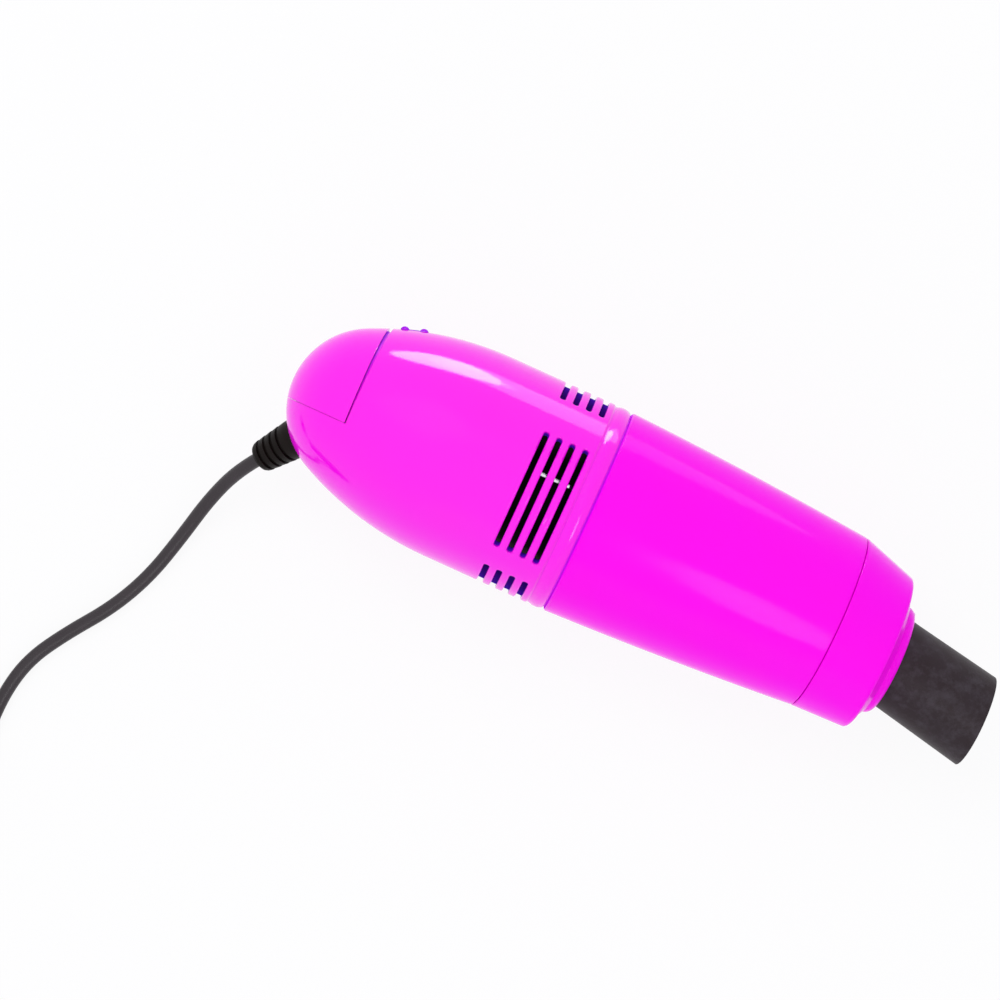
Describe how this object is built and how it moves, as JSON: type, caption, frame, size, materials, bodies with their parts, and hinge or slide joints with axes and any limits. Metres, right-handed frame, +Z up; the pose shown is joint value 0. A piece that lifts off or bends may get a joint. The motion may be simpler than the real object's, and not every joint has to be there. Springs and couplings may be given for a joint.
{
  "type": "desktop mini vacuum cleaner",
  "caption": "Round hand-size USB vacuum cleaner with slotted motor housing, pull-off dust cup, slanted nose, short suction hose and corded tail.",
  "frame": {"origin": "centre of the body's footprint, on the surface it lies on, without the cord", "axes": "+X along the body from the domed tail to the suction hose, +Y towards the slide switch, +Z up"},
  "size_m": [0.2479, 0.1645, 0.045],
  "materials": {
    "rose_plastic": "glossy injection-moulded ABS",
    "black_gloss_plastic": "glossy black moulding",
    "black_plastic": "matt black moulding",
    "hose_tube": "satin black tube, slightly dusty",
    "cord_jacket": "soft black PVC",
    "boot_rubber": "matt black soft PVC",
    "white_plastic": "natural nylon",
    "motor_steel": "zinc-plated deep-drawn steel",
    "screw_steel": "zinc-plated screws",
    "bronze": "sintered bronze",
    "contact_brass": "gold-flashed brass",
    "copper": "enamelled copper wire",
    "magnet": "ground ferrite",
    "lamination": "stacked silicon steel",
    "seal_rubber": "matt nitrile rubber",
    "filter_cloth": "white non-woven cloth",
    "red_insulation": "red PVC insulation",
    "yellow_insulation": "yellow PVC insulation",
    "ceramic": "dipped ceramic disc"
  },
  "bodies": {
    "housing": {"motor_housing": "rose_plastic", "tail_cover": "rose_plastic", "tail_cover_screw": "screw_steel", "motor_mount": "black_gloss_plastic", "mount_screws": "screw_steel", "mount_clip": "motor_steel", "motor_can": "motor_steel", "motor_screws": "screw_steel", "motor_magnets": "magnet", "front_bearing": "bronze", "rear_bearing": "bronze", "motor_end_bell": "black_plastic", "motor_terminals": "contact_brass", "motor_brushes": "copper", "noise_capacitor": "ceramic", "fan_shroud": "black_plastic", "seal_ring": "seal_rubber", "switch_frame": "motor_steel", "switch_base": "black_plastic", "switch_pins": "contact_brass", "switch_screws": "screw_steel", "cable_boot": "boot_rubber", "inner_cord": "cord_jacket", "strain_tie": "white_plastic", "lead_red": "red_insulation", "lead_black": "cord_jacket", "lead_link": "yellow_insulation", "cord": "cord_jacket", "cord_coil": "cord_jacket", "coil_tie": "black_plastic", "cord_tail": "cord_jacket", "plug_body": "boot_rubber", "plug_shell": "motor_steel", "plug_tongue": "white_plastic", "plug_contacts": "contact_brass"},
    "rotor": {"rotor_shaft": "motor_steel", "armature_core": "lamination", "armature_windings": "copper", "commutator": "copper", "impeller": "black_plastic"},
    "cup": {"dust_cup": "rose_plastic", "nose_cap": "rose_plastic"},
    "filter": {"filter_frame": "white_plastic", "filter_bag": "filter_cloth"},
    "hose": {"suction_hose": "hose_tube"},
    "knob": {"switch_knob": "rose_plastic", "switch_slider": "white_plastic"}
  },
  "joints": [
    {"name": "impeller_spin", "type": "hinge", "parent": "housing", "child": "rotor", "pos_m": [-0.01225, 0, 0.0225], "axis": [1, 0, 0], "continuous": true},
    {"name": "cup_pull", "type": "slide", "parent": "housing", "child": "cup", "axis": [1, 0, 0], "range_m": [0, 0.04]},
    {"name": "filter_pull", "type": "slide", "parent": "housing", "child": "filter", "axis": [1, 0, 0], "range_m": [0, 0.012]},
    {"name": "hose_pull", "type": "slide", "parent": "cup", "child": "hose", "axis": [0.9829, -0.184, 0], "range_m": [0, 0.014]},
    {"name": "switch_slide", "type": "slide", "parent": "housing", "child": "knob", "axis": [0.9573, 0.2893, 0], "range_m": [0, 0.002]}
  ]
}
